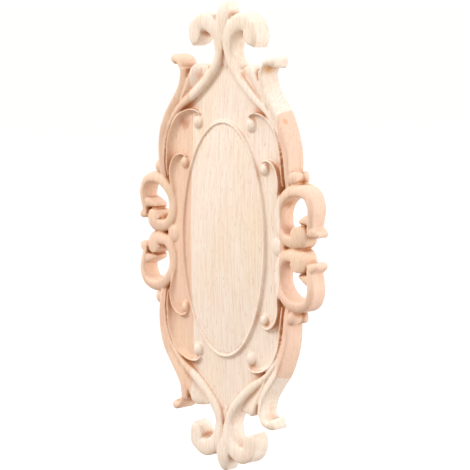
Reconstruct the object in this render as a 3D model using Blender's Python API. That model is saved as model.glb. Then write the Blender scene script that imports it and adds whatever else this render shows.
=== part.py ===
"""Carved oval wood applique, one solid, in metres, +Z up, front facing -Y.

The carving is mirrored left to right and top to bottom, so each form is described once, for the
upper right quarter. Lengths in the tables are millimetres: x to the right of the centre line,
z above the middle, and heights measured forward from the flat back, which lies on y = 0.
"""
import math

import bmesh
import bpy
import numpy as np

NODE = "applique"

# Driving dimensions, in millimetres
BACK_ALLOWANCE = 3.0          # extra wood behind the back plane, sawn off flat at the end
FIELD_HEIGHT = 10.3           # middle of the field, which carries the medallion
FIELD_CAMBER = (1.3, 2.7)     # how much lower the field is at its sides and at its ends
FIELD_SIDE = 50.0
FIELD_END = 112.0             # top of the field, between the stalks
EDGE_DROP = 3.4               # how much lower the field is where the bands hide its edge
RIM_RADII = (34.9, 74.2)      # crest of the oval rim
RIM_HALF_WIDTH = 1.5
RIM_HEIGHT = 12.1
RIM_CAMBER = 0.9
MEDALLION_HEIGHT = 13.4       # middle of the domed oval
MEDALLION_EDGE = 10.3         # cove inside the rim
BUD_TIP = 149.6

# Working resolution, in millimetres and triangles
PATH_STEP = 1.5
VOXEL = 0.62
QUARTER_TRIANGLES = 2350
OVERLAP = 5.0                 # how far a quarter runs past the centre lines before it is cut

# Cross-sections of a band: offset across the band in half widths (left of its direction is
# negative) and drop below the crest in units of the band's relief
ROUND = ((-1.0, 1.0), (-0.86, 0.55), (-0.6, 0.2), (-0.25, 0.02), (0.25, 0.02), (0.6, 0.2),
         (0.86, 0.55), (1.0, 1.0))
ROLL = ((-1.0, 0.75), (-0.85, 0.3), (-0.6, 0.04), (-0.3, 0.0), (0.05, 0.1), (0.35, 0.32),
        (0.65, 0.66), (0.87, 1.08), (1.0, 1.6))
CREST = ((-1.0, 1.35), (-0.8, 0.8), (-0.5, 0.28), (-0.2, 0.0), (0.1, 0.05), (0.4, 0.32),
         (0.68, 0.8), (0.88, 1.4), (1.0, 2.1))
RIDGE = ((-3.5, 1.05), (-2.7, 0.93), (-1.9, 0.74), (-1.1, 0.42), (-0.5, 0.06), (0.0, 0.0),
         (0.45, 0.12), (1.0, 0.8))
DISH = ((-1.0, 0.45), (-0.75, 0.85), (-0.45, 1.0), (-0.1, 0.8), (0.3, 0.22), (0.55, 0.0),
        (0.8, 0.22), (1.0, 0.75))

# Bands: points are x, z, half width, crest height
OUTER_SCROLL = ((53.6, 35.0, 1.6, 11.6), (53.7, 41.0, 1.6, 13.2), (53.8, 50.0, 1.6, 14.3),
                (53.9, 60.0, 1.7, 14.7), (52.4, 70.0, 1.9, 14.7), (46.2, 80.0, 2.0, 14.5),
                (38.9, 90.0, 2.7, 14.6), (33.9, 99.0, 2.5, 14.9), (32.7, 106.5, 2.3, 14.8))
SCROLL_TIP = ((32.7, 102.5, 2.2, 14.6), (33.2, 107.6, 2.3, 14.8), (35.8, 111.2, 2.6, 14.7),
              (39.6, 111.9, 2.9, 14.2), (43.6, 109.6, 2.9, 13.0))
STALK = ((50.9, 37.0, 0.9, 9.6), (50.9, 44.0, 0.9, 11.8), (50.9, 50.0, 0.9, 12.1),
         (50.2, 60.0, 1.0, 12.3), (46.6, 70.0, 1.3, 12.5), (41.6, 77.6, 1.8, 12.6),
         (35.0, 84.2, 2.6, 12.6), (26.6, 90.2, 3.3, 12.4), (17.4, 97.8, 3.5, 12.0),
         (9.6, 106.0, 3.6, 11.7), (4.9, 113.6, 3.6, 11.7), (3.6, 121.0, 3.4, 11.9),
         (4.2, 126.0, 3.0, 11.8))
CURL = ((3.9, 116.0, 3.0, 11.4), (3.7, 121.0, 3.5, 12.0), (4.5, 127.6, 4.2, 12.6),
        (8.6, 133.6, 4.9, 13.0), (15.2, 136.2, 5.1, 13.2), (21.4, 134.0, 4.8, 13.0),
        (23.5, 128.6, 4.4, 12.6), (22.4, 123.8, 4.2, 12.3), (21.6, 120.8, 4.0, 11.9))
LEAF = ((36.8, 83.0, 1.2, 12.2), (32.6, 90.0, 2.7, 12.4), (28.6, 95.0, 4.6, 12.4),
        (25.3, 100.0, 6.2, 12.4), (22.6, 104.0, 7.6, 12.2), (20.4, 107.6, 8.4, 11.9))
LONG_HOOK = ((48.2, 38.0, 1.3, 9.8), (48.2, 44.0, 1.3, 12.0), (48.2, 50.0, 1.3, 12.5),
             (47.3, 58.0, 1.3, 12.6), (45.2, 64.6, 1.3, 12.6), (41.6, 71.2, 1.3, 12.5),
             (37.4, 76.1, 1.3, 12.3), (31.8, 79.7, 1.2, 11.9), (26.5, 80.9, 1.2, 11.5),
             (21.8, 80.0, 1.0, 11.2), (18.8, 77.2, 0.8, 10.6))
SHORT_HOOK = ((44.2, 22.0, 1.2, 10.4), (45.1, 31.0, 1.3, 11.8), (45.7, 38.0, 1.3, 12.3),
              (44.9, 43.5, 1.3, 12.4), (42.6, 48.4, 1.3, 12.3), (38.8, 51.8, 1.2, 12.0),
              (34.4, 52.6, 1.1, 11.6), (31.0, 50.6, 0.8, 11.0))
SIDE_SCROLL = ((71.4, 13.0, 2.2, 11.6), (72.1, 20.0, 1.9, 12.2), (72.1, 27.0, 1.9, 12.5),
               (68.9, 32.9, 2.4, 12.6), (62.6, 35.2, 2.9, 12.7), (56.0, 34.4, 3.0, 12.8),
               (50.4, 30.9, 3.1, 12.4), (46.6, 25.6, 3.2, 11.6), (45.2, 19.0, 3.2, 11.0),
               (46.4, 11.6, 3.2, 11.2), (50.4, 5.8, 3.2, 11.5), (55.8, 3.4, 3.1, 11.8),
               (61.2, 4.6, 3.0, 12.0), (64.2, 8.4, 2.8, 12.0), (63.6, 12.6, 2.6, 11.8))
SCROLL_LIP = ((60.6, 18.6, 0.8, 9.8), (64.8, 17.6, 1.4, 11.0), (69.8, 15.4, 2.4, 11.8),
              (73.6, 11.6, 2.2, 10.4), (76.2, 8.8, 1.5, 8.3))

# Knobs: centre x, z, radii across and up, height of the foot of the dome, height of its top
UPPER_BEAD = (22.0, 74.2, 4.0, 5.0, 7.0, 11.6)
LOWER_BEAD = (34.0, 47.9, 3.8, 4.5, 7.6, 12.0)
VOLUTE_EYE = (58.0, 10.4, 5.6, 5.8, 9.0, 11.9)
BOSS = (42.4, 0.0, 4.6, 5.0, 8.0, 11.4)
NUB_LOBES = ((55.2, 43.2, 3.6, 3.0, 6.6, 12.2), (58.6, 43.7, 2.7, 2.7, 6.4, 11.0))

# Edge of the field under the bands: x, z
FIELD_EDGE = ((52.0, 0.0), (49.0, 4.0), (45.8, 10.0), (44.4, 18.0), (47.0, 32.0),
              (52.4, 40.0), (52.9, 56.0), (50.0, 69.0), (42.6, 79.0), (33.0, 88.0),
              (21.0, 98.0), (8.0, 108.0), (0.4, FIELD_END))
FIELD_COLUMNS = (1.0, 0.95, 0.88, 0.7, 0.4, 0.1, -0.1, -0.4, -0.7, -0.88, -0.95, -1.0)
# Bud: z, half width and height of its ridge
BUD = ((124.0, 0.8, 9.0), (130.0, 2.0, 10.4), (136.0, 4.6, 11.2), (141.5, 6.4, 11.0),
       (145.6, 5.4, 9.8), (148.4, 3.2, 7.4), (BUD_TIP, 1.0, 4.8))

WOOD_COLOUR = (0.85, 0.66, 0.47, 1.0)
WOOD_ROUGHNESS = 0.62


def clear_scene():
    """Remove the objects that a new Blender file starts with."""
    for item in list(bpy.data.objects):
        bpy.data.objects.remove(item, do_unlink=True)


def smooth_rows(points, step=PATH_STEP):
    """Run a smooth curve through rows of numbers, sampled at equal steps of its path."""
    rows = np.array(points, dtype=float)
    padded = np.vstack((2 * rows[0] - rows[1], rows, 2 * rows[-1] - rows[-2]))
    samples = []
    for i in range(1, len(padded) - 2):
        before, start, end, after = padded[i - 1:i + 3]
        for t in np.linspace(0.0, 1.0, 24, endpoint=False):
            samples.append(0.5 * (2 * start + (end - before) * t
                                  + (2 * before - 5 * start + 4 * end - after) * t ** 2
                                  + (3 * start - before - 3 * end + after) * t ** 3))
    samples.append(rows[-1])
    samples = np.array(samples)
    lengths = np.hypot(*np.diff(samples[:, :2], axis=0).T)
    distance = np.concatenate(((0.0,), np.cumsum(lengths)))
    places = np.linspace(0.0, distance[-1], max(2, round(distance[-1] / step) + 1))
    return np.column_stack([np.interp(places, distance, column) for column in samples.T])


def add_loft(bm, sections):
    """Skin a run of closed sections with the same number of points, and cap both ends."""
    rings = [[bm.verts.new(point) for point in section] for section in sections]
    for ring, following in zip(rings, rings[1:]):
        for k, vertex in enumerate(ring):
            after = (k + 1) % len(ring)
            bm.faces.new((vertex, ring[after], following[after], following[k]))
    bm.faces.new(reversed(rings[0]))
    bm.faces.new(rings[-1])


def band_section(x, z, across, half_width, crest, relief, profile, drafts):
    """Return one closed cross-section of a band, from the back up over its crest."""
    left, right = profile[0][0] * half_width, profile[-1][0] * half_width
    outline = [(left - drafts[0], -BACK_ALLOWANCE)]
    outline += [(offset * half_width, crest - drop * relief) for offset, drop in profile]
    outline += [(right + drafts[1], -BACK_ALLOWANCE)]
    return [(x + across[0] * offset, -height, z + across[1] * offset)
            for offset, height in outline]


def add_band(bm, points, profile, relief, drafts=(0.6, 0.6), round_end=False, across=None):
    """Add a band that follows a path, with walls that spread a little towards the back."""
    rows = smooth_rows(points)
    ahead = np.gradient(rows[:, :2], axis=0)
    ahead /= np.hypot(*ahead.T)[:, None]
    widest = rows[:, 2].max()
    remaining = np.cumsum(np.hypot(*np.diff(rows[:, :2], axis=0).T)[::-1])[::-1]
    sections = []
    for i, (x, z, half_width, crest) in enumerate(rows):
        direction = across or (ahead[i][1], -ahead[i][0])
        left = remaining[i] if i < len(remaining) else 0.0
        if round_end and left < half_width:
            half_width *= max(0.4, (1.0 - (1.0 - left / half_width) ** 3) ** (1 / 3))
        depth = relief * (0.5 + 0.5 * half_width / widest)
        sections.append(band_section(x, z, direction, half_width, crest, depth, profile, drafts))
    add_loft(bm, sections)


def add_knob(bm, x, z, radius_x, radius_z, foot, top, draft=0.8, sides=28, steps=6):
    """Add an oval post whose top is a dome."""
    levels = [(1.0, -BACK_ALLOWANCE, draft), (1.0, foot, 0.0)]
    for k in range(1, steps):
        angle = 0.5 * math.pi * k / steps
        levels.append((math.cos(angle), foot + (top - foot) * math.sin(angle), 0.0))
    rings = []
    for scale, height, spread in levels:
        rings.append([(x + (radius_x * scale + spread) * math.cos(turn), -height,
                       z + (radius_z * scale + spread) * math.sin(turn))
                      for turn in np.linspace(0.0, 2 * math.pi, sides, endpoint=False)])
    add_loft(bm, rings)


def mirrored(profile):
    """Return a cross-section with its left and right sides exchanged."""
    return tuple((-offset, drop) for offset, drop in reversed(profile))


def field_height(x, z, half_width):
    """Return the height of the field, which falls away towards its sides and ends."""
    return (FIELD_HEIGHT - FIELD_CAMBER[0] * (x / FIELD_SIDE) ** 2
            - FIELD_CAMBER[1] * (z / FIELD_END) ** 2 - EDGE_DROP * (x / half_width) ** 24)


def add_field(bm):
    """Add the board that carries the carving, as rows across it from end to end."""
    edge = smooth_rows(FIELD_EDGE, 3.0)
    rows = np.vstack((edge[:0:-1] * (1, -1), edge))
    sections = []
    for half_width, z in rows:
        face = [(half_width * part, -field_height(half_width * part, z, half_width), z)
                for part in reversed(FIELD_COLUMNS)]
        sections.append([(half_width, BACK_ALLOWANCE, z), (-half_width, BACK_ALLOWANCE, z)]
                        + face)
    add_loft(bm, sections)


def rim_height(z):
    """Return the crest of the rim, a little lower at its ends."""
    return RIM_HEIGHT - RIM_CAMBER * (z / RIM_RADII[1]) ** 2


def add_medallion(bm, sides=120):
    """Add the oval dome with the cove and the rounded rim around it."""
    levels = [(RIM_HALF_WIDTH + 0.3, None), (RIM_HALF_WIDTH, 2.4), (1.0, 1.1), (0.5, 0.2),
              (0.0, 0.0), (-0.5, 0.25), (-1.0, 1.1), (-RIM_HALF_WIDTH, 1.8)]
    turns = np.linspace(0.0, 2 * math.pi, sides, endpoint=False)
    rings = []
    for offset, drop in levels:
        ring = []
        for turn in turns:
            z = RIM_RADII[1] * math.sin(turn)
            height = -BACK_ALLOWANCE if drop is None else rim_height(z) - drop
            ring.append(((RIM_RADII[0] + offset) * math.cos(turn), -height,
                         (RIM_RADII[1] + offset) * math.sin(turn)))
        rings.append(ring)
    inner = [radius - RIM_HALF_WIDTH - 0.4 for radius in RIM_RADII]
    for scale in np.linspace(1.0, 0.06, 9):
        rise = MEDALLION_EDGE + (MEDALLION_HEIGHT - MEDALLION_EDGE) * (1.0 - scale ** 2)
        rings.append([(inner[0] * scale * math.cos(turn), -rise,
                       inner[1] * scale * math.sin(turn)) for turn in turns])
    add_loft(bm, rings)


def add_bud(bm):
    """Add the tapering bud at the end of the carving."""
    rows = smooth_rows([(0.0, z, half_width, crest) for z, half_width, crest in BUD])
    sections = [band_section(x, z, (1.0, 0.0), half_width, crest, 0.8 * half_width, ROUND,
                             (0.3, 0.3)) for x, z, half_width, crest in rows]
    add_loft(bm, sections)


def add_quarter(bm):
    """Add the forms of the upper right quarter."""
    add_band(bm, OUTER_SCROLL, CREST, 2.5, drafts=(0.3, 0.9))
    add_band(bm, SCROLL_TIP, ROUND, 2.4, drafts=(0.6, 1.4), round_end=True)
    add_band(bm, STALK, ROUND, 2.8, drafts=(0.6, 0.6))
    add_band(bm, CURL, mirrored(ROLL), 2.6, drafts=(0.6, 1.2), round_end=True)
    add_band(bm, LEAF, DISH, 5.0, drafts=(0.6, 0.6), across=(1.0, 0.0))
    add_band(bm, LONG_HOOK, RIDGE, 3.7)
    add_band(bm, SHORT_HOOK, RIDGE, 3.3)
    add_band(bm, SIDE_SCROLL, ROLL, 1.7, drafts=(0.9, 0.4))
    add_band(bm, SCROLL_LIP, ROUND, 1.6, drafts=(0.8, 0.4), round_end=True)
    for knob in (UPPER_BEAD, LOWER_BEAD, VOLUTE_EYE, BOSS) + NUB_LOBES:
        add_knob(bm, *knob)


def mesh_from(bm, name):
    """Write a bmesh to a new mesh."""
    mesh = bpy.data.meshes.new(name)
    bm.to_mesh(mesh)
    bm.free()
    return mesh


def evaluated_mesh(item):
    """Return the mesh of an object as its modifiers leave it."""
    bpy.context.view_layer.update()
    graph = bpy.context.evaluated_depsgraph_get()
    return bpy.data.meshes.new_from_object(item.evaluated_get(graph))


def rough_carving():
    """Return an object of all the overlapping forms, in millimetres."""
    quarter = bmesh.new()
    add_quarter(quarter)
    template = mesh_from(quarter, "quarter forms")
    bm = bmesh.new()
    for side_x in (1.0, -1.0):
        for side_z in (1.0, -1.0):
            first = len(bm.verts)
            bm.from_mesh(template)
            bm.verts.ensure_lookup_table()
            for vertex in bm.verts[first:]:
                vertex.co.x *= side_x
                vertex.co.z *= side_z
    for sign in (1.0, -1.0):
        first = len(bm.verts)
        add_bud(bm)
        bm.verts.ensure_lookup_table()
        for vertex in bm.verts[first:]:
            vertex.co.z *= sign
    add_field(bm)
    add_medallion(bm)
    bmesh.ops.recalc_face_normals(bm, faces=bm.faces)
    bpy.data.meshes.remove(template)
    item = bpy.data.objects.new("forms", mesh_from(bm, "forms"))
    bpy.context.scene.collection.objects.link(item)
    return item


def cut(bm, point, normal):
    """Cut a mesh along a plane and drop what lies on the side that the normal points to."""
    geometry = list(bm.verts) + list(bm.edges) + list(bm.faces)
    bmesh.ops.bisect_plane(bm, geom=geometry, plane_co=point, plane_no=normal, dist=1e-5,
                           clear_outer=True)


def blended_quarter():
    """Blend the forms into one skin, keep one quarter of it and thin out its triangles."""
    forms = rough_carving()
    remesh = forms.modifiers.new("blend", "REMESH")
    remesh.mode = "VOXEL"
    remesh.voxel_size = VOXEL
    remesh.adaptivity = 0.0
    skin = evaluated_mesh(forms)
    bpy.data.objects.remove(forms, do_unlink=True)

    bm = bmesh.new()
    bm.from_mesh(skin)
    bpy.data.meshes.remove(skin)
    cut(bm, (-OVERLAP, 0.0, 0.0), (-1.0, 0.0, 0.0))
    cut(bm, (0.0, 0.0, -OVERLAP), (0.0, 0.0, -1.0))
    bmesh.ops.smooth_vert(bm, verts=[v for v in bm.verts if not v.is_boundary], factor=0.5,
                          use_axis_x=True, use_axis_y=True, use_axis_z=True)
    bmesh.ops.triangulate(bm, faces=bm.faces)
    triangles = len(bm.faces)
    quarter = bpy.data.objects.new("quarter", mesh_from(bm, "quarter"))
    bpy.context.scene.collection.objects.link(quarter)
    thin = quarter.modifiers.new("thin", "DECIMATE")
    thin.ratio = QUARTER_TRIANGLES / triangles
    thinned = evaluated_mesh(quarter)
    bpy.data.objects.remove(quarter, do_unlink=True)
    return thinned


def wood_material():
    """Return the plain colour of the bare wood."""
    material = bpy.data.materials.new("rubberwood")
    material.use_nodes = True
    shader = material.node_tree.nodes["Principled BSDF"]
    shader.inputs["Base Color"].default_value = WOOD_COLOUR
    shader.inputs["Roughness"].default_value = WOOD_ROUGHNESS
    shader.inputs["Metallic"].default_value = 0.0
    return material


def main():
    """Carve the quarter, mirror it to the whole applique and close the flat back."""
    clear_scene()
    quarter = blended_quarter()
    bm = bmesh.new()
    bm.from_mesh(quarter)
    bpy.data.meshes.remove(quarter)
    cut(bm, (0.0, 0.0, 0.0), (-1.0, 0.0, 0.0))
    cut(bm, (0.0, 0.0, 0.0), (0.0, 0.0, -1.0))
    cut(bm, (0.0, 0.0, 0.0), (0.0, 1.0, 0.0))
    for axis in ("X", "Z"):
        bmesh.ops.mirror(bm, geom=list(bm.verts) + list(bm.edges) + list(bm.faces),
                         axis=axis, merge_dist=0.001)
    edge = [e for e in bm.edges if e.is_boundary]
    bmesh.ops.triangle_fill(bm, edges=edge, use_beauty=True, normal=(0.0, 1.0, 0.0))
    bmesh.ops.recalc_face_normals(bm, faces=bm.faces)
    for vertex in bm.verts:
        vertex.co *= 0.001
    mesh = mesh_from(bm, NODE)
    mesh.materials.append(wood_material())
    item = bpy.data.objects.new(NODE, mesh)
    bpy.context.scene.collection.objects.link(item)


main()
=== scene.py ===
"""Carved oval wood applique: one hand-finished carving of bare rubberwood, shown in a pale studio.

The carving's forms are swept, turned and lofted in millimetres, in the axes of the frame: x to the
right, z up, and the front towards -y. Heights are measured forward from the flat back at y = 0.
The forms are then blended into one skin, as a carver blends them with gouge and sandpaper.
"""
from __future__ import annotations

import logging
import math
from dataclasses import dataclass, field
from enum import Enum

import bmesh
import bpy
import numpy as np
from mathutils import Matrix, Vector


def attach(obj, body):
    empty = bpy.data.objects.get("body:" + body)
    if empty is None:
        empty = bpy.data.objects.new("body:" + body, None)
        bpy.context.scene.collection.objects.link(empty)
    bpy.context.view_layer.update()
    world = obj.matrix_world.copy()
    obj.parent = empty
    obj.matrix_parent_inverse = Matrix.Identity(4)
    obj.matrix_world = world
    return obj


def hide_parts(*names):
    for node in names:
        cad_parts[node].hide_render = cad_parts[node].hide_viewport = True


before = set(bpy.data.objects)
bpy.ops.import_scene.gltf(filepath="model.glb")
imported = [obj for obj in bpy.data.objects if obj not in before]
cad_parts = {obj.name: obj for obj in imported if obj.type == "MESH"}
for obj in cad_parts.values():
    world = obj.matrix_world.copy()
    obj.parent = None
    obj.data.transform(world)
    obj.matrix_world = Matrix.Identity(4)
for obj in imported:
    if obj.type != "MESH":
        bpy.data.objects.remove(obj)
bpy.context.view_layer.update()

LOG = logging.getLogger("applique")
MM = 0.001
CAD_NODE = "applique"
BODY = "root"
PIECE = "carved_applique"
BACK_ALLOWANCE = 3.0          # extra wood behind the back plane, sawn off flat at the end
SPLINE_SAMPLES = 24           # samples from row to row, before they are spaced evenly
SECTION_DEPTH = 5.0           # sets the back points of a cross-section apart from its front


class Section(Enum):
    """Cross-sections of a band.

    Each point is the offset across the band in half widths, with the left of its direction
    negative, and the drop below the crest in units of the band's relief.
    """

    ROUND = ((-1.0, 1.0), (-0.86, 0.55), (-0.6, 0.2), (-0.25, 0.02), (0.25, 0.02), (0.6, 0.2),
             (0.86, 0.55), (1.0, 1.0))
    ROLL = ((-1.0, 0.75), (-0.85, 0.3), (-0.6, 0.04), (-0.3, 0.0), (0.05, 0.1), (0.35, 0.32),
            (0.65, 0.66), (0.87, 1.08), (1.0, 1.6))
    CREST = ((-2.6, 1.6), (-2.35, 1.05), (-2.0, 0.72), (-1.5, 0.45), (-1.0, 0.24), (-0.5, 0.07),
             (0.0, 0.0), (0.35, 0.08), (0.65, 0.4), (0.86, 1.0), (1.0, 2.0))
    RIDGE = ((-3.6, 1.2), (-3.1, 1.06), (-2.3, 0.95), (-1.5, 0.76), (-0.9, 0.44), (-0.4, 0.07),
             (0.0, 0.0), (0.3, 0.12), (0.5, 0.6), (0.65, 1.3))
    DISH = ((-1.0, 0.9), (-0.75, 1.0), (-0.45, 0.92), (-0.1, 0.62), (0.3, 0.2), (0.6, 0.0),
            (0.82, 0.15), (1.0, 0.6))


def srgb_to_linear(code: str) -> tuple[float, float, float, float]:
    """Turn an sRGB hex colour into linear values.

    Args:
        code: the colour as #RRGGBB.

    Returns:
        Linear red, green and blue, and an alpha of one.
    """
    channels = [int(code[i:i + 2], 16) / 255.0 for i in (1, 3, 5)]
    linear = [c / 12.92 if c <= 0.04045 else ((c + 0.055) / 1.055) ** 2.4 for c in channels]
    return (linear[0], linear[1], linear[2], 1.0)


def add_node(tree: bpy.types.NodeTree, kind: str, settings: dict | None = None,
             inputs: dict | None = None) -> bpy.types.Node:
    """Add one node to a tree, with its settings and its links.

    Args:
        tree: a shader or a geometry tree.
        kind: the node's type.
        settings: values of the node's own properties.
        inputs: for each input, by name or place, a plain value or the socket that feeds it.

    Returns:
        The new node.
    """
    node = tree.nodes.new(kind)
    for name, value in (settings or {}).items():
        setattr(node, name, value)
    for name, value in (inputs or {}).items():
        if isinstance(value, bpy.types.NodeSocket):
            tree.links.new(value, node.inputs[name])
        else:
            node.inputs[name].default_value = value
    return node


def plain_mesh(item: bpy.types.Object) -> bpy.types.Mesh:
    """Turn what an object's modifiers make into a plain mesh, and remove the object.

    Args:
        item: an object with live modifiers.

    Returns:
        The evaluated mesh, which no modifier changes any more.
    """
    bpy.context.view_layer.update()
    graph = bpy.context.evaluated_depsgraph_get()
    mesh = bpy.data.meshes.new_from_object(item.evaluated_get(graph))
    bpy.data.objects.remove(item, do_unlink=True)
    return mesh


def new_object(name: str, mesh: bpy.types.Mesh) -> bpy.types.Object:
    """Put a mesh into the scene as an object at the origin.

    Args:
        name: the object's name.
        mesh: its mesh.

    Returns:
        The new object.
    """
    item = bpy.data.objects.new(name, mesh)
    bpy.context.scene.collection.objects.link(item)
    return item


def mesh_from(bm: bmesh.types.BMesh, name: str) -> bpy.types.Mesh:
    """Write a bmesh to a new mesh and free it.

    Args:
        bm: the bmesh.
        name: the mesh's name.

    Returns:
        The new mesh.
    """
    mesh = bpy.data.meshes.new(name)
    bm.to_mesh(mesh)
    bm.free()
    return mesh


def add_loft(bm: bmesh.types.BMesh, sections: list[list[tuple[float, float, float]]]) -> None:
    """Skin a run of closed sections with the same number of points, and cap both ends.

    Args:
        bm: the bmesh that takes the faces.
        sections: the closed sections, in order.
    """
    rings = [[bm.verts.new(point) for point in section] for section in sections]
    for ring, following in zip(rings, rings[1:]):
        for k, vertex in enumerate(ring):
            after = (k + 1) % len(ring)
            bm.faces.new((vertex, ring[after], following[after], following[k]))
    bm.faces.new(reversed(rings[0]))
    bm.faces.new(rings[-1])


def smooth_rows(points: tuple, step: float) -> np.ndarray:
    """Run a Catmull-Rom curve through rows of numbers, sampled at equal steps of its path.

    Args:
        points: rows whose first two numbers are the place on the path.
        step: the distance between samples, in millimetres.

    Returns:
        One row for each sample.
    """
    rows = np.array(points, dtype=float)
    padded = np.vstack((2 * rows[0] - rows[1], rows, 2 * rows[-1] - rows[-2]))
    samples = []
    for i in range(1, len(padded) - 2):
        before, start, end, after = padded[i - 1:i + 3]
        for t in np.linspace(0.0, 1.0, SPLINE_SAMPLES, endpoint=False):
            samples.append(0.5 * (2 * start + (end - before) * t
                                  + (2 * before - 5 * start + 4 * end - after) * t ** 2
                                  + (3 * start - before - 3 * end + after) * t ** 3))
    samples.append(rows[-1])
    table = np.array(samples)
    lengths = np.hypot(*np.diff(table[:, :2], axis=0).T)
    distance = np.concatenate(((0.0,), np.cumsum(lengths)))
    places = np.linspace(0.0, distance[-1], max(2, round(distance[-1] / step) + 1))
    return np.column_stack([np.interp(places, distance, column) for column in table.T])


class TreeBuilder:
    """Adds nodes to one shader or geometry tree."""

    def __init__(self, tree: bpy.types.NodeTree) -> None:
        """Take the tree to add to."""
        self.tree = tree

    def node(self, kind: str, settings: dict | None = None,
             inputs: dict | None = None) -> bpy.types.Node:
        """Add a node to this tree, as add_node does."""
        return add_node(self.tree, kind, settings, inputs)

    def math(self, operation: str, *values: object) -> bpy.types.NodeSocket:
        """Work out one number.

        Args:
            operation: the name of the Math node's operation.
            *values: its operands, as numbers or sockets.

        Returns:
            The socket with the result.
        """
        return self.node("ShaderNodeMath", {"operation": operation},
                         dict(enumerate(values))).outputs[0]


@dataclass(frozen=True)
class Fade:
    """Turns a value into an amount: none at the start, and the most once it is full."""

    start: float
    full: float
    most: float = 1.0

    def amount(self, tree: TreeBuilder, value: bpy.types.NodeSocket,
               curve: str = "LINEAR") -> bpy.types.NodeSocket:
        """Work out the amount.

        Args:
            tree: the tree that takes the node.
            value: the value.
            curve: the node's interpolation type.

        Returns:
            The amount.
        """
        return tree.node("ShaderNodeMapRange", {"interpolation_type": curve}, {
            "Value": value, "From Min": self.start, "From Max": self.full,
            "To Max": self.most}).outputs[0]


class ShapeTree(TreeBuilder):
    """A geometry tree with named inputs, applied to an object as a modifier."""

    def __init__(self, name: str, inputs: dict[str, str]) -> None:
        """Start the tree.

        Args:
            name: the tree's name.
            inputs: the socket type of each input, by name.
        """
        super().__init__(bpy.data.node_groups.new(name, "GeometryNodeTree"))
        face = self.tree.interface
        face.new_socket(name="Geometry", in_out="INPUT", socket_type="NodeSocketGeometry")
        face.new_socket(name="Geometry", in_out="OUTPUT", socket_type="NodeSocketGeometry")
        self.identifiers = {
            label: face.new_socket(name=label, in_out="INPUT", socket_type=kind).identifier
            for label, kind in inputs.items()}
        self.source = self.tree.nodes.new("NodeGroupInput").outputs

    def attribute(self, name: str, kind: str = "FLOAT") -> bpy.types.NodeSocket:
        """Read a named attribute of the geometry."""
        return self.node("GeometryNodeInputNamedAttribute", {"data_type": kind},
                         {"Name": name}).outputs["Attribute"]

    def finish(self, geometry: bpy.types.NodeSocket) -> None:
        """End the tree in Realize Instances and Set Material.

        Args:
            geometry: the socket with the finished geometry.
        """
        real = self.node("GeometryNodeRealizeInstances", None, {"Geometry": geometry})
        dressed = self.node("GeometryNodeSetMaterial", None,
                            {"Geometry": real.outputs[0], "Material": self.source["Finish"]})
        self.node("NodeGroupOutput", None, {0: dressed.outputs[0]})

    def apply(self, item: bpy.types.Object, values: dict[str, object]) -> bpy.types.Mesh:
        """Run the tree on an object.

        Args:
            item: the object that feeds the tree; it is removed.
            values: a value for each named input.

        Returns:
            The plain mesh that the tree makes.
        """
        modifier = item.modifiers.new(self.tree.name, "NODES")
        modifier.node_group = self.tree
        for label, value in values.items():
            modifier[self.identifiers[label]] = value
        return plain_mesh(item)


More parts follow.
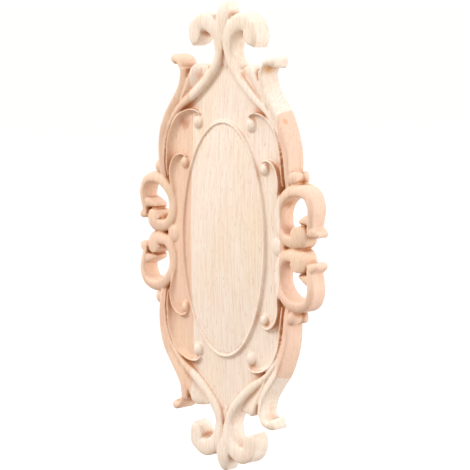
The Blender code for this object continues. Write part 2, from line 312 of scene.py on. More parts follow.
class BandTree(ShapeTree):
    """Sweeps a carved cross-section along a path whose width and crest change on the way."""

    TIP_WIDTH = 0.4               # share of the width left at the very tip of a rounded end
    TIP_POWER = 3.0               # two would round the end like a circle; this is blunter
    LEAST_RELIEF = 0.5            # share of the relief left as the width goes to nothing

    def __init__(self) -> None:
        """Build the tree."""
        super().__init__("band along a path", {
            "Section": "NodeSocketObject", "Step": "NodeSocketFloat", "Relief": "NodeSocketFloat",
            "Back": "NodeSocketFloat", "Rounded End": "NodeSocketFloat",
            "Finish": "NodeSocketMaterial"})
        path = self.curved_path()
        section = self.node("GeometryNodeObjectInfo", None, {"Object": self.source["Section"]})
        outline = self.node("GeometryNodeMeshToCurve", None,
                            {"Mesh": section.outputs["Geometry"]})
        swept = self.node("GeometryNodeCurveToMesh", None, {
            "Curve": path, "Profile Curve": outline.outputs[0], "Fill Caps": True})
        self.finish(self.shaped(swept.outputs[0]))

    def curved_path(self) -> bpy.types.NodeSocket:
        """Smooth the path and note on it where it lies, what is across it and its widths.

        Returns:
            The socket with the path as a curve.
        """
        line = self.node("GeometryNodeMeshToCurve", None, {"Mesh": self.source["Geometry"]})
        smooth = self.node("GeometryNodeCurveSplineType", {"spline_type": "CATMULL_ROM"},
                           {"Curve": line.outputs[0]})
        even = self.node("GeometryNodeResampleCurve", {"mode": "LENGTH"},
                         {"Curve": smooth.outputs[0], "Length": self.source["Step"]})
        along = self.node("ShaderNodeSeparateXYZ", None,
                          {0: self.node("GeometryNodeInputTangent").outputs[0]})
        across = self.node("ShaderNodeCombineXYZ", None, {
            "X": along.outputs["Z"], "Z": self.math("MULTIPLY", along.outputs["X"], -1.0)})
        fixed = self.attribute("across", "FLOAT_VECTOR")
        chosen = self.node("GeometryNodeSwitch", {"input_type": "VECTOR"}, {
            "Switch": self.math("GREATER_THAN", self.node(
                "ShaderNodeVectorMath", {"operation": "LENGTH"}, {0: fixed}).outputs["Value"], 0.5),
            "False": across.outputs[0], "True": fixed})
        place = self.node("GeometryNodeInputPosition").outputs[0]
        notes = {"across": ("FLOAT_VECTOR", chosen.outputs[0]),
                 "path_place": ("FLOAT_VECTOR", place),
                 "half_width": ("FLOAT", self.end_width())}
        curve = even.outputs[0]
        for name in ("path_place", "half_width", "across"):
            kind, value = notes[name]
            curve = self.node("GeometryNodeStoreNamedAttribute",
                              {"data_type": kind, "domain": "POINT"},
                              {"Geometry": curve, "Name": name, "Value": value}).outputs[0]
        return curve

    def end_width(self) -> bpy.types.NodeSocket:
        """Narrow the band over its last half width, for an end that is rounded off.

        Returns:
            The socket with the half width at each point of the path.
        """
        width = self.attribute("half_width")
        gone = self.node("GeometryNodeSplineParameter").outputs["Length"]
        total = self.node("GeometryNodeSplineLength").outputs["Length"]
        left = self.math("DIVIDE", self.math("SUBTRACT", total, gone), width)
        short = self.math("SUBTRACT", 1.0, self.math("MINIMUM", left, 1.0))
        rounded = self.math("MAXIMUM", self.TIP_WIDTH, self.math("POWER", self.math(
            "SUBTRACT", 1.0, self.math("POWER", short, self.TIP_POWER)), 1.0 / self.TIP_POWER))
        blend = self.node("ShaderNodeMix", None, {
            0: self.source["Rounded End"], 2: 1.0, 3: rounded})
        return self.math("MULTIPLY", width, blend.outputs[0])

    def shaped(self, swept: bpy.types.NodeSocket) -> bpy.types.NodeSocket:
        """Move each point of the sweep to its offset across the path and its height.

        Args:
            swept: the socket with the plain sweep.

        Returns:
            The socket with the shaped band.
        """
        width = self.attribute("half_width")
        widest = self.node("GeometryNodeAttributeStatistic", None,
                           {"Geometry": swept, "Attribute": width}).outputs["Max"]
        share = self.math("MULTIPLY_ADD", self.math("DIVIDE", width, widest),
                          1.0 - self.LEAST_RELIEF, self.LEAST_RELIEF)
        fall = self.math("MULTIPLY", self.attribute("drop"),
                         self.math("MULTIPLY", self.source["Relief"], share))
        front = self.math("SUBTRACT", self.attribute("crest"), fall)
        height = self.node("ShaderNodeMix", None, {
            0: self.attribute("is_back"), 2: front, 3: self.source["Back"]}).outputs[0]
        reach = self.math("MULTIPLY_ADD", self.attribute("offset"), width,
                          self.attribute("draft"))
        sideways = self.node("ShaderNodeVectorMath", {"operation": "SCALE"}, {
            0: self.attribute("across", "FLOAT_VECTOR"), "Scale": reach}).outputs[0]
        forward = self.node("ShaderNodeCombineXYZ", None,
                            {"Y": self.math("MULTIPLY", height, -1.0)}).outputs[0]
        beside = self.node("ShaderNodeVectorMath", {"operation": "ADD"}, {
            0: self.attribute("path_place", "FLOAT_VECTOR"), 1: sideways}).outputs[0]
        place = self.node("ShaderNodeVectorMath", {"operation": "ADD"},
                          {0: beside, 1: forward}).outputs[0]
        return self.node("GeometryNodeSetPosition", None,
                         {"Geometry": swept, "Position": place}).outputs[0]


class QuarterTree(ShapeTree):
    """Repeats the upper right quarter in the other three, as mirror images."""

    def __init__(self) -> None:
        """Build the tree."""
        super().__init__("four quarters", {"Finish": "NodeSocketMaterial"})
        whole = self.source["Geometry"]
        for scale in ((-1.0, 1.0, 1.0), (1.0, 1.0, -1.0)):
            image = self.node("GeometryNodeTransform", None, {"Geometry": whole, "Scale": scale})
            turned = self.node("GeometryNodeFlipFaces", None, {"Mesh": image.outputs[0]})
            joined = self.node("GeometryNodeJoinGeometry")
            for part in (whole, turned.outputs[0]):
                self.tree.links.new(part, joined.inputs[0])
            whole = joined.outputs[0]
        self.finish(whole)


class CarversHandTree(ShapeTree):
    """Gives the surface the slight unevenness that gouge and sandpaper leave."""

    FORWARD = Fade(-0.3, -2.0)    # by y in millimetres, so that the flat back stays still

    def __init__(self) -> None:
        """Build the tree."""
        super().__init__("carver's hand", {
            "Depth": "NodeSocketFloat", "Size": "NodeSocketFloat", "Seed": "NodeSocketFloat",
            "Finish": "NodeSocketMaterial"})
        place = self.node("GeometryNodeInputPosition").outputs[0]
        noise = self.node("ShaderNodeTexNoise", {"noise_dimensions": "4D"}, {
            "Vector": place, "W": self.source["Seed"], "Detail": 1.0,
            "Scale": self.math("DIVIDE", 1.0, self.source["Size"])})
        push = self.math("MULTIPLY", self.math("SUBTRACT", noise.outputs[0], 0.5),
                         self.math("MULTIPLY", self.source["Depth"], 2.0))
        depth = self.node("ShaderNodeSeparateXYZ", None, {0: place}).outputs["Y"]
        normal = self.node("GeometryNodeInputNormal").outputs[0]
        offset = self.node("ShaderNodeVectorMath", {"operation": "SCALE"}, {
            0: normal, "Scale": self.math("MULTIPLY", push, self.FORWARD.amount(self, depth))})
        moved = self.node("GeometryNodeSetPosition", None, {
            "Geometry": self.source["Geometry"], "Offset": offset.outputs[0]})
        self.finish(moved.outputs[0])


@dataclass(frozen=True)
class WarmTint:
    """A warm tint on the wood: its middle as x, height and z, and its size, in millimetres."""

    middle: tuple[float, float, float]
    size: tuple[float, float, float]
    colour: str
    amount: float


class WoodTree(TreeBuilder):
    """The tree of the wood's material, which knows the place on the wood."""

    def __init__(self, tree: bpy.types.NodeTree) -> None:
        """Take the tree and find the place, as Object coordinates."""
        super().__init__(tree)
        self.place = self.node("ShaderNodeTexCoord").outputs["Object"]

    def noise(self, sizes: tuple[float, float, float], detail: float = 2.0,
              roughness: float = 0.5) -> bpy.types.NodeSocket:
        """Make noise that is drawn out along the grain.

        Args:
            sizes: one feature's size along x, y and z, in millimetres.
            detail: how many finer layers it has.
            roughness: how strong they are.

        Returns:
            The noise.
        """
        scaled = self.node("ShaderNodeMapping", None, {
            "Vector": self.place, "Scale": tuple(1.0 / (MM * size) for size in sizes)})
        return self.node("ShaderNodeTexNoise", None, {
            "Vector": scaled.outputs[0], "Scale": 1.0, "Detail": detail,
            "Roughness": roughness}).outputs[0]

    def tinted(self, colour: object, amount: bpy.types.NodeSocket,
               tint: str) -> bpy.types.NodeSocket:
        """Mix a tint into a colour.

        Args:
            colour: the colour so far, as a value or a socket.
            amount: how much of the tint there is.
            tint: the tint, as #RRGGBB.

        Returns:
            The mixed colour.
        """
        return self.node("ShaderNodeMix", {"data_type": "RGBA"}, {
            0: amount, 6: colour, 7: srgb_to_linear(tint)}).outputs[2]


@dataclass(frozen=True)
class BareRubberwood:
    """Rubberwood glued up from staves, carved and sanded, with no finish on it.

    Bare sanded wood is matt, pale and warm: its open pores show as short brown dashes along the
    grain, and the pink and the cream staves meet in straight lines. Sizes of a pattern are those
    of one feature along x, y and z, in millimetres.
    """

    cream: str = "#F5EADE"
    pink: str = "#EECFBA"
    honey: str = "#F4E1C2"
    pore: str = "#CB956D"
    # colour of the painted shade laid into recesses, in place of the warm shade that falls there
    recess_shade: str = "#BE7F4E"
    roughness: float = 0.58
    specular: float = 0.3
    stave_lines: tuple[float, float] = (-27.7, 47.5)
    stave_blend: float = 0.5
    patch_sizes: tuple[float, float, float] = (19.0, 38.0, 53.2)
    patch_fade: Fade = Fade(0.45, 0.75, 0.45)
    streak_sizes: tuple[float, float, float] = (0.95, 1.995, 24.0)
    streak_fade: Fade = Fade(0.45, 0.72, 0.28)
    pore_sizes: tuple[float, float, float] = (0.6, 0.6, 5.0)   # twice too wide, so that they show
    pore_fade: Fade = Fade(0.61, 0.75, 0.46)
    saw_sizes: tuple[float, float, float] = (1.3, 60.0, 1.3)
    # reach of the ambient occlusion behind the painted recess shade, and how that painted shade
    # fades in
    shade_reach: float = 8.0
    shade_fade: Fade = Fade(0.88, 0.54, 0.9)
    bump_strength: float = 0.5
    bump_depth: float = 0.25
    ragged_sizes: tuple[float, float, float] = (1.6, 1.6, 3.2)
    raggedness: float = 0.8       # how far a tint's edge wanders, in its own sizes
    tint_edge: tuple[float, float] = (1.4, 0.5)   # where it starts and where it is full
    # warm tints laid at seven places on the wood, most of them in hollows and under overhangs
    warm_tints: dict[str, WarmTint] = field(default_factory=lambda: {
        "under a scroll tip": WarmTint((36.8, 9.0, 108.4), (4.6, 6.5, 5.0), "#DC9C42", 0.8),
        "on an outer wall": WarmTint((49.6, 9.0, 76.9), (3.4, 3.4, 3.6), "#E2945A", 0.6),
        "in the hollow of a curl": WarmTint((-16.6, 10.0, -123.2), (4.6, 5.0, 5.4), "#D49B4E", 0.6),
        "on a hook's slope": WarmTint((-35.2, 9.0, 72.0), (6.0, 4.5, 6.5), "#B0673F", 0.65),
        "in the left leaf": WarmTint((-21.0, 9.0, 102.6), (5.0, 5.0, 6.0), "#D78F5C", 0.55),
        "in the right leaf": WarmTint((16.6, 9.0, 104.0), (3.4, 5.0, 5.0), "#D7996C", 0.45),
        "inside a ring": WarmTint((50.8, 6.0, 27.4), (5.0, 6.5, 5.5), "#B5783F", 0.7),
    })

    def material(self) -> bpy.types.Material:
        """Build the material.

        Returns:
            The material, on Object coordinates.
        """
        material = bpy.data.materials.new("bare sanded rubberwood")
        material.use_nodes = True
        shader = material.node_tree.nodes["Principled BSDF"]
        shader.inputs["Roughness"].default_value = self.roughness
        shader.inputs["Specular IOR Level"].default_value = self.specular
        tree = WoodTree(material.node_tree)
        colour = self.staves(tree)
        patches = self.patch_fade.amount(tree, tree.noise(self.patch_sizes))
        colour = tree.tinted(colour, patches, self.honey)
        colour = self.warm_tinted(tree, colour)
        grain = self.grain(tree)
        colour = tree.tinted(colour, grain, self.pore)
        # painted shade: recesses darkened towards a warm brown by ambient occlusion
        colour = tree.tinted(colour, self.painted_recess_shade(tree), self.recess_shade)
        material.node_tree.links.new(colour, shader.inputs["Base Color"])
        material.node_tree.links.new(self.bump(tree, grain), shader.inputs["Normal"])
        return material

    def staves(self, tree: WoodTree) -> bpy.types.NodeSocket:
        """Return the colour of the staves: cream in the middle, pink on either side."""
        x = tree.node("ShaderNodeSeparateXYZ", None, {0: tree.place}).outputs["X"]
        sides = []
        for line, sign in zip(self.stave_lines, (-1.0, 1.0)):
            half = 0.5 * self.stave_blend * sign
            sides.append(Fade(MM * (line - half), MM * (line + half)).amount(tree, x))
        return tree.tinted(srgb_to_linear(self.cream), tree.math("MAXIMUM", *sides), self.pink)

    def warm_tinted(self, tree: WoodTree, colour: bpy.types.NodeSocket) -> bpy.types.NodeSocket:
        """Lay the warm tints over the wood, each with a ragged edge.

        Args:
            tree: the material's tree.
            colour: the colour so far.

        Returns:
            The colour with its stains.
        """
        ragged = tree.noise(self.ragged_sizes)
        for warm_tint in self.warm_tints.values():
            x, height, z = (MM * value for value in warm_tint.middle)
            away = tree.node("ShaderNodeMapping", {"vector_type": "TEXTURE"}, {
                "Vector": tree.place, "Location": (x, -height, z),
                "Scale": tuple(MM * value for value in warm_tint.size)}).outputs[0]
            distance = tree.node("ShaderNodeVectorMath", {"operation": "LENGTH"},
                                 {0: away}).outputs["Value"]
            reach = tree.math("MULTIPLY_ADD", ragged, self.raggedness, distance)
            amount = Fade(*self.tint_edge, warm_tint.amount).amount(tree, reach, "SMOOTHSTEP")
            colour = tree.tinted(colour, amount, warm_tint.colour)
        return colour

    def grain(self, tree: WoodTree) -> bpy.types.NodeSocket:
        """Return how deep the grain's streaks and open pores are at each place."""
        streaks = tree.noise(self.streak_sizes, detail=3.0, roughness=0.6)
        pores = tree.noise(self.pore_sizes, detail=1.0)
        return tree.math("MAXIMUM", self.streak_fade.amount(tree, streaks),
                         self.pore_fade.amount(tree, pores))

    def painted_recess_shade(self, tree: WoodTree) -> bpy.types.NodeSocket:
        """Return how much painted shade each place takes: the deeper in a narrow recess, by ambient
        occlusion, the more.
        """
        open_sky = tree.node("ShaderNodeAmbientOcclusion", {"samples": 8},
                             {"Distance": MM * self.shade_reach}).outputs["AO"]
        return self.shade_fade.amount(tree, open_sky)

    def bump(self, tree: WoodTree, grain: bpy.types.NodeSocket) -> bpy.types.NodeSocket:
        """Sink the grain, and leave fine saw lines through the thickness of the side walls.

        Args:
            tree: the material's tree.
            grain: how deep the grain is.

        Returns:
            The normal.
        """
        lines = tree.noise(self.saw_sizes, detail=1.0)
        normal = tree.node("ShaderNodeNewGeometry").outputs["Normal"]
        facing = tree.node("ShaderNodeSeparateXYZ", None, {0: normal}).outputs["Y"]
        wall = tree.math("SUBTRACT", 1.0, tree.math("ABSOLUTE", facing))
        height = tree.math("SUBTRACT", tree.math("MULTIPLY", lines, wall), grain)
        return tree.node("ShaderNodeBump", None, {
            "Height": height, "Strength": self.bump_strength,
            "Distance": MM * self.bump_depth}).outputs[0]


@dataclass(frozen=True)
class Band:
    """A carved band: rows of x, z, half width and crest height, in millimetres."""

    rows: tuple[tuple[float, float, float, float], ...]
    section: Section
    relief: float
    drafts: tuple[float, float] = (0.6, 0.6)   # how far each wall spreads at the back
    rounded_end: bool = False
    across: tuple[float, float, float] = (0.0, 0.0, 0.0)
    step: float = 0.8

    def path_object(self) -> bpy.types.Object:
        """Make the path as a line of points that carry the band's widths.

        Returns:
            The object that feeds the tree.
        """
        mesh = bpy.data.meshes.new("path")
        mesh.from_pydata([(x, 0.0, z) for x, z, _, _ in self.rows],
                         [(i, i + 1) for i in range(len(self.rows) - 1)], [])
        for name, column in (("half_width", 2), ("crest", 3)):
            values = mesh.attributes.new(name, "FLOAT", "POINT")
            values.data.foreach_set("value", [row[column] for row in self.rows])
        fixed = mesh.attributes.new("across", "FLOAT_VECTOR", "POINT")
        fixed.data.foreach_set("vector", list(self.across) * len(self.rows))
        return new_object("path", mesh)

    def section_object(self) -> bpy.types.Object:
        """Make the closed cross-section, from the back up over the crest and down again.

        Returns:
            The object that the tree reads.
        """
        profile = self.section.value
        points = [(profile[0][0], 0.0, -self.drafts[0], 1.0)]
        points += [(offset, drop, 0.0, 0.0) for offset, drop in profile]
        points += [(profile[-1][0], 0.0, self.drafts[1], 1.0)]
        mesh = bpy.data.meshes.new("section")
        mesh.from_pydata([(offset, -drop - SECTION_DEPTH * back, 0.0)
                          for offset, drop, _, back in points],
                         [(i, (i + 1) % len(points)) for i in range(len(points))], [])
        for name, column in (("offset", 0), ("drop", 1), ("draft", 2), ("is_back", 3)):
            values = mesh.attributes.new(name, "FLOAT", "POINT")
            values.data.foreach_set("value", [point[column] for point in points])
        return new_object("section", mesh)

    def mesh(self, tree: BandTree, finish: bpy.types.Material) -> bpy.types.Mesh:
        """Sweep the band.

        Args:
            tree: the tree that sweeps bands.
            finish: the wood.

        Returns:
            The band's mesh.
        """
        section = self.section_object()
        swept = tree.apply(self.path_object(), {
            "Section": section, "Step": self.step, "Relief": self.relief,
            "Back": -BACK_ALLOWANCE, "Rounded End": float(self.rounded_end), "Finish": finish})
        bpy.data.objects.remove(section, do_unlink=True)
        return swept


@dataclass(frozen=True)
class Knob:
    """An oval post whose top is a dome, in millimetres."""

    x: float
    z: float
    radius_x: float
    radius_z: float
    foot: float
    top: float
    draft: float = 0.8
    sides: int = 40
    steps: int = 9

    def add_to(self, bm: bmesh.types.BMesh) -> None:
        """Add the knob to a bmesh."""
        levels = [(1.0, -BACK_ALLOWANCE, self.draft), (1.0, self.foot, 0.0)]
        for k in range(1, self.steps):
            angle = 0.5 * math.pi * k / self.steps
            levels.append((math.cos(angle),
                           self.foot + (self.top - self.foot) * math.sin(angle), 0.0))
        rings = []
        for scale, height, spread in levels:
            rings.append([(self.x + (self.radius_x * scale + spread) * math.cos(turn), -height,
                           self.z + (self.radius_z * scale + spread) * math.sin(turn))
                          for turn in np.linspace(0.0, 2 * math.pi, self.sides, endpoint=False)])
        add_loft(bm, rings)


@dataclass
class ScrollWork:
    """The scrolls, hooks, leaf and beads of one quarter."""

    bands: dict[str, Band] = field(default_factory=lambda: {
        "outer scroll": Band(
            ((54.4, 35.0, 1.4, 10.8), (54.6, 41.0, 1.4, 12.0), (54.8, 48.0, 1.4, 12.9),
             (54.6, 56.0, 1.4, 13.3), (53.5, 63.0, 1.4, 13.7), (50.9, 71.0, 1.5, 14.1),
             (47.4, 79.0, 1.6, 13.5), (41.0, 88.0, 1.8, 13.4), (36.1, 96.0, 1.6, 13.4),
             (34.1, 103.0, 1.3, 13.8), (33.9, 107.0, 1.2, 14.2)),
            Section.CREST, 2.0, (0.3, 1.2)),
        "scroll tip": Band(
            ((33.8, 99.0, 1.2, 11.6), (33.6, 103.5, 1.5, 12.9), (34.4, 107.6, 1.7, 14.0),
             (36.2, 111.0, 1.9, 14.3), (39.2, 112.4, 2.3, 14.1), (41.8, 112.4, 3.2, 13.3),
             (44.0, 111.8, 3.7, 12.1)),
            Section.ROUND, 2.4, (0.4, 0.8), rounded_end=True),
        "stalk": Band(
            ((51.9, 37.0, 0.9, 10.2), (52.1, 44.0, 1.1, 11.6), (51.8, 51.0, 1.2, 12.0),
             (50.3, 60.5, 1.2, 12.2), (46.8, 70.0, 1.3, 12.4), (41.6, 77.6, 1.8, 12.6),
             (35.0, 84.2, 2.6, 12.6), (26.6, 90.2, 3.3, 12.4), (17.4, 97.8, 3.5, 12.0),
             (9.6, 106.0, 3.6, 11.7), (4.9, 113.6, 3.6, 11.7), (3.6, 121.0, 3.4, 11.9),
             (4.2, 126.0, 3.0, 11.8)),
            Section.ROUND, 2.8),
        "curl": Band(
            ((3.9, 116.0, 3.0, 11.4), (3.7, 121.0, 3.5, 12.0), (4.5, 127.6, 4.3, 12.6),
             (8.2, 132.9, 4.9, 13.0), (14.8, 136.5, 5.4, 13.1), (21.2, 134.5, 4.9, 12.9),
             (24.3, 129.4, 4.3, 12.7), (24.3, 125.4, 4.0, 12.4), (23.0, 122.5, 3.2, 11.6)),
            Section.ROUND, 1.7, (0.6, 1.2)),
        "leaf": Band(
            ((36.8, 83.0, 1.2, 12.2), (32.6, 90.0, 2.7, 12.4), (28.6, 95.0, 4.6, 12.4),
             (25.3, 100.0, 6.2, 12.4), (22.4, 104.0, 7.4, 12.2), (21.4, 106.4, 7.4, 12.0),
             (21.4, 108.4, 5.6, 11.4), (21.8, 109.9, 2.4, 10.2)),
            Section.DISH, 3.6, across=(1.0, 0.0, 0.0)),
        "long hook": Band(
            ((49.4, 37.0, 1.3, 10.6), (49.5, 44.0, 1.3, 12.1), (49.1, 50.0, 1.3, 12.5),
             (48.4, 58.0, 1.3, 12.6), (46.5, 65.2, 1.3, 12.6), (43.0, 72.0, 1.3, 12.5),
             (38.6, 76.9, 1.3, 12.3), (32.7, 80.1, 1.2, 11.9), (27.6, 81.1, 1.2, 11.7),
             (23.4, 80.4, 1.1, 11.4), (20.8, 78.2, 0.9, 10.8)),
            Section.RIDGE, 3.7),
        "short hook": Band(
            ((44.2, 22.0, 1.2, 10.4), (45.6, 31.0, 1.3, 11.8), (46.6, 38.0, 1.3, 12.3),
             (46.0, 43.5, 1.3, 12.4), (43.6, 48.6, 1.3, 12.3), (39.4, 51.8, 1.2, 12.0),
             (35.2, 52.3, 1.1, 11.6), (32.2, 50.6, 0.8, 11.0)),
            Section.RIDGE, 3.3),
        "side scroll": Band(
            ((70.8, 12.0, 2.0, 11.2), (72.1, 19.0, 2.1, 12.1), (72.6, 26.0, 2.3, 12.5),
             (69.5, 32.9, 2.7, 12.6), (62.9, 35.6, 3.3, 12.7), (56.2, 34.9, 3.4, 12.8),
             (50.5, 31.2, 3.3, 12.4), (46.7, 25.6, 3.2, 11.6), (45.2, 19.0, 3.2, 11.0),
             (46.3, 11.4, 3.2, 11.3), (49.8, 6.0, 3.3, 11.8), (54.2, 4.2, 3.8, 12.2),
             (58.8, 4.4, 4.5, 12.5), (61.9, 6.9, 6.1, 12.6), (62.3, 10.4, 6.4, 12.5),
             (61.6, 14.0, 6.0, 12.2)),
            Section.ROLL, 2.1, (0.9, 0.4), rounded_end=True),
        "inner lip": Band(
            ((71.4, 18.6, 3.4, 11.4), (68.0, 18.2, 3.0, 10.8), (64.4, 17.3, 2.1, 9.8),
             (60.9, 16.5, 1.3, 8.6)),
            Section.ROUND, 1.6, (0.3, 0.3), rounded_end=True),
        "side scroll tongue": Band(
            ((69.2, 11.9, 2.4, 10.6), (71.0, 11.5, 3.3, 11.4), (73.6, 10.3, 2.6, 10.9),
             (76.8, 9.3, 1.5, 9.0)),
            Section.ROUND, 1.8, (0.3, 0.3), rounded_end=True),
    })
    knobs: dict[str, Knob] = field(default_factory=lambda: {
        "upper bead": Knob(22.8, 73.3, 4.5, 5.0, 7.0, 11.8),
        "lower bead": Knob(34.2, 47.0, 3.9, 4.4, 7.6, 12.0),
        "eye of the side scroll": Knob(61.5, 7.0, 6.8, 6.9, 8.6, 10.4, 0.3),
        "end of the curl": Knob(23.2, 130.2, 5.0, 7.8, 11.9, 12.9, 0.3),
        "web beside the bud": Knob(5.6, 134.6, 5.4, 5.0, 8.4, 11.0, 0.0),
        "boss": Knob(45.0, 0.6, 5.6, 5.2, 8.4, 10.8),
        "inner lobe": Knob(57.2, 42.8, 3.5, 4.5, 8.6, 12.4, -1.6),
        "outer lobe": Knob(59.6, 43.0, 2.4, 3.8, 1.6, 3.8, 0.1),
    })

    def mesh(self, finish: bpy.types.Material) -> bpy.types.Mesh:
        """Make the four quarters of the scroll work.

        Args:
            finish: the wood.

        Returns:
            The overlapping forms of all four quarters.
        """
        bm = bmesh.new()
        sweep = BandTree()
        for name, band in self.bands.items():
            swept = band.mesh(sweep, finish)
            LOG.info("%s: %d faces", name, len(swept.polygons))
            bm.from_mesh(swept)
            bpy.data.meshes.remove(swept)
        for knob in self.knobs.values():
            knob.add_to(bm)
        return QuarterTree().apply(new_object("quarter", mesh_from(bm, "quarter")),
                                   {"Finish": finish})


@dataclass
class Ground:
    """The board between the scrolls, which falls away towards its sides and ends."""

    height: float = 10.3
    side_camber: float = 1.3
    end_camber: float = 2.7
    side: float = 50.0
    end: float = 112.0
    edge_drop: float = 2.4
    edge: tuple[tuple[float, float], ...] = (
        (52.0, 0.0), (49.0, 4.0), (45.8, 10.0), (44.4, 18.0), (47.0, 32.0), (52.0, 40.0),
        (52.3, 56.0), (49.6, 69.0), (42.6, 79.0), (33.0, 88.0), (21.0, 98.0), (8.0, 108.0),
        (0.4, 112.0))
    edge_power: int = 24          # keeps the drop to the last few millimetres
    columns: int = 33
    row_step: float = 1.5

    def height_at(self, x: float, z: float, half_width: float) -> float:
        """Return the height of the ground at a place in a row of the given half width."""
        return (self.height - self.side_camber * (x / self.side) ** 2
                - self.end_camber * (z / self.end) ** 2
                - self.edge_drop * (x / half_width) ** self.edge_power)

    def add_to(self, bm: bmesh.types.BMesh) -> None:
        """Add the ground to a bmesh, as rows across it from end to end."""
        edge = smooth_rows(self.edge, self.row_step)
        rows = np.vstack((edge[:0:-1] * (1, -1), edge))
        places = np.sin(np.linspace(-0.5 * math.pi, 0.5 * math.pi, self.columns))
        sections = []
        for half_width, z in rows:
            front = [(half_width * part, -self.height_at(half_width * part, z, half_width), z)
                     for part in places]
            sections.append([(half_width, BACK_ALLOWANCE, z), (-half_width, BACK_ALLOWANCE, z)]
                            + front)
        add_loft(bm, sections)


@dataclass
class Medallion:
    """The domed oval, with the cove and the fine rounded rim around it."""

    radii: tuple[float, float] = (34.9, 74.2)
    rim_half_width: float = 1.5
    rim_height: float = 12.1
    rim_camber: float = 0.9
    height: float = 13.4
    edge_height: float = 10.3
    foot_margin: float = 0.3      # how far the rim's wall spreads at the back
    dome_inset: float = 0.4       # gap from the rim's foot to the dome
    dome_rings: int = 20
    dome_centre: float = 0.04     # share of the dome that the last ring caps
    sides: int = 240
    rim: tuple[tuple[float, float], ...] = (
        (1.5, 2.4), (1.15, 1.45), (0.85, 0.7), (0.5, 0.2), (0.15, 0.02), (-0.15, 0.02),
        (-0.5, 0.25), (-0.85, 0.8), (-1.15, 1.35), (-1.5, 1.8))

    def add_to(self, bm: bmesh.types.BMesh) -> None:
        """Add the medallion to a bmesh, as ovals from the rim's foot to the middle."""
        turns = np.linspace(0.0, 2 * math.pi, self.sides, endpoint=False)
        rings = [self.oval(self.rim_half_width + self.foot_margin, turns, None)]
        rings += [self.oval(offset, turns, drop) for offset, drop in self.rim]
        inner = [radius - self.rim_half_width - self.dome_inset for radius in self.radii]
        for scale in np.linspace(1.0, self.dome_centre, self.dome_rings):
            rise = self.edge_height + (self.height - self.edge_height) * (1.0 - scale ** 2)
            rings.append([(inner[0] * scale * math.cos(turn), -rise,
                           inner[1] * scale * math.sin(turn)) for turn in turns])
        add_loft(bm, rings)

    def oval(self, offset: float, turns: np.ndarray,
             drop: float | None) -> list[tuple[float, float, float]]:
        """Return one oval of the rim.

        Args:
            offset: how far it lies outside the rim's crest.
            turns: the angles around the oval.
            drop: how far it lies below the crest, or None for the back.

        Returns:
            The oval's points.
        """
        points = []
        for turn in turns:
            fall = self.rim_camber * math.sin(turn) ** 2
            height = -BACK_ALLOWANCE if drop is None else self.rim_height - fall - drop
            points.append(((self.radii[0] + offset) * math.cos(turn), -height,
                           (self.radii[1] + offset) * math.sin(turn)))
        return points


@dataclass
class Bud:
    """The tapering bud at each end: rows of z, half width and crest height."""

    rows: tuple[tuple[float, float, float], ...] = (
        (108.0, 2.0, 8.4), (118.0, 1.8, 9.2), (124.0, 2.6, 10.8), (129.0, 4.2, 12.2),
        (134.0, 5.3, 13.0), (139.0, 5.4, 13.1), (143.0, 4.8, 12.5), (146.0, 3.8, 11.6),
        (148.2, 2.7, 10.5), (149.6, 1.1, 8.8))
    relief: float = 0.45          # drop at its sides, in half widths
    back_share: float = 0.84      # width at the back, in widths
    row_step: float = 0.7

    def add_to(self, bm: bmesh.types.BMesh, sign: float) -> None:
        """Add one bud to a bmesh.

        Args:
            bm: the bmesh.
            sign: one for the top, minus one for the bottom.
        """
        sections = []
        rows = smooth_rows([(0.0, *row) for row in self.rows], self.row_step)
        for _, z, half_width, crest in rows:
            profile = Section.ROUND.value
            outline = [(-self.back_share * half_width, -BACK_ALLOWANCE)]
            outline += [(offset * half_width, crest - drop * self.relief * half_width)
                        for offset, drop in profile]
            outline += [(self.back_share * half_width, -BACK_ALLOWANCE)]
            sections.append([(x, -height, sign * z) for x, height in outline])
        add_loft(bm, sections)


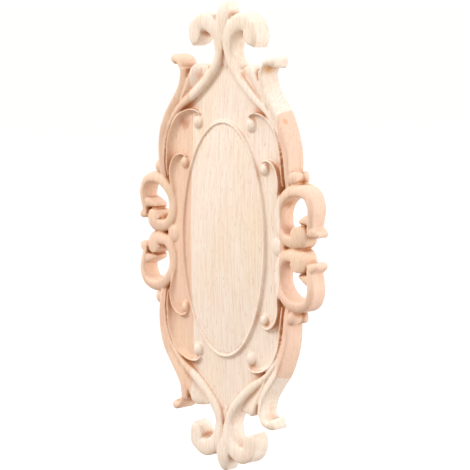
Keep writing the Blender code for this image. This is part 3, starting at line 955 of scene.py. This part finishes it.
@dataclass
class Applique:
    """The whole carving, as one piece."""

    wood: BareRubberwood = field(default_factory=BareRubberwood)
    scroll_work: ScrollWork = field(default_factory=ScrollWork)
    ground: Ground = field(default_factory=Ground)
    medallion: Medallion = field(default_factory=Medallion)
    bud: Bud = field(default_factory=Bud)
    voxel: float = 0.5
    sanding: int = 1              # passes that soften the edges
    sanding_strength: float = 0.5
    cut_tolerance: float = 1e-5
    unevenness: float = 0.16
    gouge_size: float = 14.0
    seed: float = 3.0
    triangles: int = 190000
    crease: float = math.radians(55.0)

    def build(self) -> bpy.types.Object:
        """Carve, sand and dress the applique.

        Returns:
            The finished piece.
        """
        finish = self.wood.material()
        skin = self.blended(finish)
        self.saw_back(skin)
        thin = new_object("skin", skin)
        fewer = thin.modifiers.new("fewer", "DECIMATE")
        fewer.ratio = min(1.0, self.triangles / sum(len(p.vertices) - 2 for p in skin.polygons))
        skin = plain_mesh(thin)
        skin = CarversHandTree().apply(new_object("skin", skin), {
            "Depth": self.unevenness, "Size": self.gouge_size, "Seed": self.seed,
            "Finish": finish})
        skin.transform(Matrix.Scale(MM, 4))
        skin.shade_smooth()
        skin.set_sharp_from_angle(angle=self.crease)
        piece = new_object(PIECE, skin)
        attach(piece, BODY)
        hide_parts(CAD_NODE)
        LOG.info("%s: %d triangles", PIECE, len(skin.polygons))
        return piece

    def blended(self, finish: bpy.types.Material) -> bpy.types.Mesh:
        """Blend all the forms into one skin.

        Args:
            finish: the wood.

        Returns:
            The skin, in millimetres.
        """
        bm = bmesh.new()
        scrolls = self.scroll_work.mesh(finish)
        bm.from_mesh(scrolls)
        self.ground.add_to(bm)
        self.medallion.add_to(bm)
        for sign in (1.0, -1.0):
            self.bud.add_to(bm, sign)
        bmesh.ops.recalc_face_normals(bm, faces=bm.faces)
        forms = new_object("forms", mesh_from(bm, "forms"))
        remesh = forms.modifiers.new("blend", "REMESH")
        remesh.mode = "VOXEL"
        remesh.voxel_size = self.voxel
        remesh.adaptivity = 0.0
        return plain_mesh(forms)

    def saw_back(self, skin: bpy.types.Mesh) -> None:
        """Saw the back off flat and sand the rest.

        Args:
            skin: the skin, in millimetres, changed in place.
        """
        bm = bmesh.new()
        bm.from_mesh(skin)
        geometry = list(bm.verts) + list(bm.edges) + list(bm.faces)
        bmesh.ops.bisect_plane(bm, geom=geometry, plane_co=(0.0, 0.0, 0.0),
                               plane_no=(0.0, 1.0, 0.0), dist=self.cut_tolerance,
                               clear_outer=True)
        inner = [v for v in bm.verts if not v.is_boundary]
        for _ in range(self.sanding):
            bmesh.ops.smooth_vert(bm, verts=inner, factor=self.sanding_strength,
                                  use_axis_x=True, use_axis_y=True, use_axis_z=True)
        edge = [e for e in bm.edges if e.is_boundary]
        bmesh.ops.triangle_fill(bm, edges=edge, use_beauty=True, normal=(0.0, 1.0, 0.0))
        bmesh.ops.recalc_face_normals(bm, faces=bm.faces)
        bm.to_mesh(skin)
        bm.free()


@dataclass(frozen=True)
class Lamp:
    """A round soft box that shines at the carving."""

    name: str
    place: tuple[float, float, float]
    size: float
    power: float

    def hang(self) -> None:
        """Put the lamp into the scene."""
        data = bpy.data.lights.new(self.name, "AREA")
        data.shape = "DISK"
        data.size = self.size
        data.energy = self.power
        item = bpy.data.objects.new(self.name, data)
        item.location = self.place
        item.rotation_euler = Vector(self.place).to_track_quat("Z", "Y").to_euler()
        bpy.context.scene.collection.objects.link(item)


@dataclass
class Studio:
    """The camera at the photograph's viewing angle, the pale floor and the soft light."""

    azimuth: float = 43.0
    elevation: float = 7.9
    distance: float = 1.08608
    aim: tuple[float, float] = (0.000267, 0.0020715)   # right of and above the origin
    focal_length: float = 131.27
    sensor_width: float = 36.0
    far_clip: float = 100.0
    floor_drop: float = 0.45
    floor_size: float = 200.0
    floor_colour: str = "#FCFCFC"
    floor_roughness: float = 0.9
    back_strength: float = 1.2
    back_colour: str = "#FFFFFF"
    front_strength: float = 0.5
    front_colour: str = "#FFEBD9"
    back_fade: Fade = Fade(-0.1, 0.35)   # by how far a direction points up and behind
    lamps: tuple[Lamp, ...] = (
        Lamp("key", (-0.9, -1.5, 1.3), 0.9, 28.5),
        Lamp("front", (1.1, -1.2, 0.3), 1.0, 3.7),
        Lamp("fill", (1.35, 0.63, 0.2), 0.8, 7.4))

    def build(self) -> None:
        """Set up the camera, the floor and the light."""
        self.camera()
        self.floor()
        self.light()
        view = bpy.context.scene.view_settings
        view.view_transform = "Standard"
        view.look = "None"

    def axes(self) -> tuple[Vector, Vector, Vector]:
        """Return the camera's right, its up and the way back from the object to it."""
        turn, lift = math.radians(self.azimuth), math.radians(self.elevation)
        right = Vector((math.cos(turn), math.sin(turn), 0.0))
        back = Vector((math.sin(turn) * math.cos(lift), -math.cos(turn) * math.cos(lift),
                       math.sin(lift)))
        return right, back.cross(right), back

    def camera(self) -> None:
        """Place the camera."""
        right, up, back = self.axes()
        data = bpy.data.cameras.new("camera")
        data.lens = self.focal_length
        data.sensor_width = self.sensor_width
        data.clip_end = self.far_clip
        item = bpy.data.objects.new("camera", data)
        item.location = back * self.distance + right * self.aim[0] + up * self.aim[1]
        item.rotation_euler = Matrix((right, up, back)).transposed().to_euler()
        bpy.context.scene.collection.objects.link(item)
        bpy.context.scene.camera = item

    def floor(self) -> None:
        """Lay the pale floor, which throws no light back on the carving."""
        half = 0.5 * self.floor_size
        mesh = bpy.data.meshes.new("floor")
        mesh.from_pydata([(-half, -half, -self.floor_drop), (half, -half, -self.floor_drop),
                          (half, half, -self.floor_drop), (-half, half, -self.floor_drop)],
                         [], [(0, 1, 2, 3)])
        material = bpy.data.materials.new("white studio floor")
        material.use_nodes = True
        shader = material.node_tree.nodes["Principled BSDF"]
        shader.inputs["Base Color"].default_value = srgb_to_linear(self.floor_colour)
        shader.inputs["Roughness"].default_value = self.floor_roughness
        mesh.materials.append(material)
        floor = new_object("floor", mesh)
        floor.visible_diffuse = False
        floor.visible_shadow = False

    def light(self) -> None:
        """Light the room: white above and behind, warm in front, and three lamps."""
        world = bpy.data.worlds.new("white room")
        bpy.context.scene.world = world
        world.use_nodes = True
        tree = TreeBuilder(world.node_tree)
        direction = tree.node("ShaderNodeTexCoord").outputs["Generated"]
        behind = tree.node("ShaderNodeVectorMath", {"operation": "DOT_PRODUCT"}, {
            0: direction, 1: (0.0, math.sqrt(0.5), math.sqrt(0.5))}).outputs["Value"]
        share = self.back_fade.amount(tree, behind, "SMOOTHSTEP")
        strength = tree.node("ShaderNodeMix", None, {
            0: share, 2: self.front_strength, 3: self.back_strength}).outputs[0]
        colour = tree.node("ShaderNodeMix", {"data_type": "RGBA"}, {
            0: share, 6: srgb_to_linear(self.front_colour),
            7: srgb_to_linear(self.back_colour)}).outputs[2]
        background = world.node_tree.nodes["Background"]
        world.node_tree.links.new(strength, background.inputs["Strength"])
        world.node_tree.links.new(colour, background.inputs["Color"])
        for lamp in self.lamps:
            lamp.hang()


def main() -> None:
    """Build the applique and the studio, and log what the piece rides on and replaces."""
    logging.basicConfig(level=logging.INFO, format="%(name)s: %(message)s")
    piece = Applique().build()
    LOG.info("%s rides on %s and replaces %s", piece.name, BODY, CAD_NODE)
    Studio().build()


if __name__ == "__main__":
    main()
